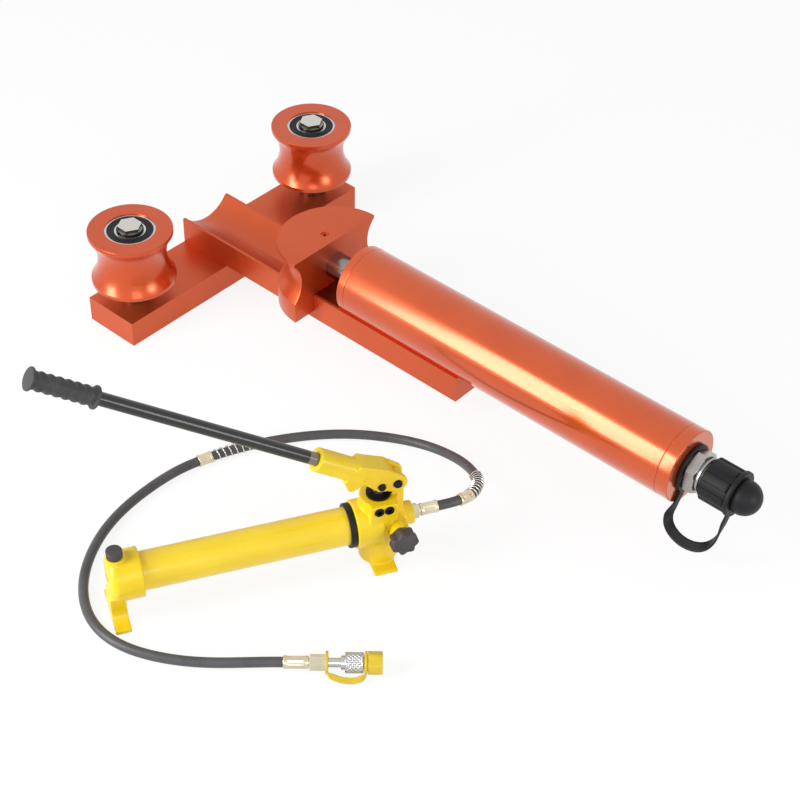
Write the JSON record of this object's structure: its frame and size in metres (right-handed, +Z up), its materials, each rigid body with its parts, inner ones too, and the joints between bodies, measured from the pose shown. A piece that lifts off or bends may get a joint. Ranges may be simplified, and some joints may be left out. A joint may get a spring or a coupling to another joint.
{
  "type": "hydraulic pipe bender",
  "caption": "Hydraulic pipe bender: an orange bending head whose ram pushes a half-round shoe between grooved rollers, with a yellow lever pump and its hose.",
  "frame": {"origin": "middle of the cross bar's underside, midway between the two roller pins", "axes": "+X along the ram, away from the rollers; +Y along the cross bar; +Z up from the floor"},
  "size_m": [0.8574, 0.7713, 0.3485],
  "materials": {
    "anodised_orange": "satin anodised, orange-red",
    "bearing_steel": "ground",
    "black_screws": "black oxide",
    "plain_steel": "machined",
    "chromed_rod": "ground and chromed",
    "nickel_plate": "nickel plated",
    "black_rubber": "matte",
    "yellow_paint": "gloss paint",
    "black_plastic": "moulded, matte",
    "black_enamel": "gloss black",
    "zinc_yellow": "zinc plated, yellow passivated",
    "spring_wire": "bright wire",
    "yellow_plastic": "moulded"
  },
  "bodies": {
    "frame": {"cross_bar": "anodised_orange", "base_beam": "anodised_orange", "cylinder_tube": "anodised_orange", "front_gland": "anodised_orange", "rear_cap": "anodised_orange", "bearing_inner_rings": "bearing_steel", "roller_spacers": "bearing_steel", "roller_pins": "bearing_steel", "check_balls": "bearing_steel", "beam_screws": "black_screws", "cylinder_screws": "black_screws", "pin_circlips": "black_screws", "valve_plugs": "black_screws", "pivot_pin": "black_screws", "plunger_gland": "black_screws", "return_spring": "plain_steel", "tie_rod": "plain_steel", "coupler_spring": "plain_steel", "male_coupler": "nickel_plate", "coupler_body": "nickel_plate", "cap_strap": "black_rubber", "rod_seal": "black_rubber", "tank_seal_ring": "black_rubber", "hose": "black_rubber", "tank_tube": "yellow_paint", "rear_bracket": "yellow_paint", "pump_block": "yellow_paint", "hose_adapter": "zinc_yellow", "pump_end_ferrule": "zinc_yellow", "coupler_end_ferrule": "zinc_yellow", "hose_end_hex": "zinc_yellow", "guard_ferrules": "zinc_yellow", "guard_spring": "spring_wire", "far_guard_spring": "spring_wire", "coupler_tether": "yellow_plastic"},
    "ram": {"ram_rod": "chromed_rod", "bending_shoe": "anodised_orange", "shoe_set_screw": "bearing_steel", "piston": "plain_steel", "piston_seal": "black_rubber"},
    "left_roller_unit": {"left_roller": "anodised_orange", "left_outer_rings": "bearing_steel", "left_bearing_seals": "black_rubber"},
    "right_roller_unit": {"right_roller": "anodised_orange", "right_outer_rings": "bearing_steel", "right_bearing_seals": "black_rubber"},
    "left_balls": {"left_bearing_balls": "bearing_steel"},
    "right_balls": {"right_bearing_balls": "bearing_steel"},
    "dust_cap": {"dust_cap": "black_rubber"},
    "lever": {"lever_head": "yellow_paint", "lever_tube": "black_enamel", "lever_grip": "black_rubber", "plunger_pin": "black_screws"},
    "plunger": {"plunger": "chromed_rod"},
    "release_spindle": {"release_spindle": "plain_steel"},
    "release_knob": {"release_knob": "black_plastic"},
    "filler_cap": {"filler_cap": "black_plastic"},
    "coupler_sleeve": {"coupler_sleeve": "nickel_plate"},
    "plug_cap": {"coupler_plug_cap": "yellow_plastic"}
  },
  "joints": [
    {"name": "ram_slide", "type": "slide", "parent": "frame", "child": "ram", "axis": [-1, 0, 0], "range_m": [0, 0.16], "deforming": ["return_spring"]},
    {"name": "left_roller_spin", "type": "hinge", "parent": "frame", "child": "left_roller_unit", "pos_m": [0, -0.1575, 0.0995], "axis": [0, 0, 1], "continuous": true},
    {"name": "right_roller_spin", "type": "hinge", "parent": "frame", "child": "right_roller_unit", "pos_m": [0, 0.1575, 0.0995], "axis": [0, 0, 1], "continuous": true},
    {"name": "left_ball_orbit", "type": "hinge", "parent": "frame", "child": "left_balls", "pos_m": [0, -0.1575, 0.0995], "axis": [0, 0, 1], "continuous": true},
    {"name": "right_ball_orbit", "type": "hinge", "parent": "frame", "child": "right_balls", "pos_m": [0, 0.1575, 0.0995], "axis": [0, 0, 1], "continuous": true},
    {"name": "dust_cap_turn", "type": "hinge", "parent": "frame", "child": "dust_cap", "pos_m": [0.75, 0, 0.0945], "axis": [1, 0, 0], "continuous": true},
    {"name": "lever_swing", "type": "hinge", "parent": "frame", "child": "lever", "pos_m": [0.50475, -0.24206, 0.112], "axis": [-0.866, 0.5, 0], "range_deg": [-20, 30]},
    {"name": "plunger_slide", "type": "slide", "parent": "frame", "child": "plunger", "axis": [0, 0, 1], "range_m": [-0.0065, 0.0095]},
    {"name": "release_feed", "type": "slide", "parent": "frame", "child": "release_spindle", "axis": [0.866, -0.5, 0], "range_m": [0, 0.002]},
    {"name": "release_turn", "type": "hinge", "parent": "release_spindle", "child": "release_knob", "pos_m": [0.53864, -0.26336, 0.054], "axis": [0.866, -0.5, 0], "range_deg": [0, 360]},
    {"name": "filler_cap_turn", "type": "hinge", "parent": "frame", "child": "filler_cap", "pos_m": [0.3545, -0.5023, 0.086], "axis": [0, 0, 1], "continuous": true},
    {"name": "sleeve_slide", "type": "slide", "parent": "frame", "child": "coupler_sleeve", "axis": [-0.7431, -0.6691, 0], "range_m": [0, 0.004], "stiffness_N_per_m": 900, "springref_m": -0.002, "deforming": ["coupler_spring"]},
    {"name": "plug_cap_turn", "type": "hinge", "parent": "frame", "child": "plug_cap", "pos_m": [0.59396, -0.39181, 0.0131], "axis": [0.7431, 0.6691, 0], "continuous": true}
  ],
  "couplings": [
    {"joint": "left_ball_orbit", "follows": "left_roller_spin", "ratio": 0.6033},
    {"joint": "right_ball_orbit", "follows": "right_roller_spin", "ratio": 0.6033},
    {"joint": "plunger_slide", "follows": "lever_swing", "m_per_rad": 0.0175},
    {"joint": "release_turn", "follows": "release_feed", "rad_per_m": 3141.6}
  ]
}
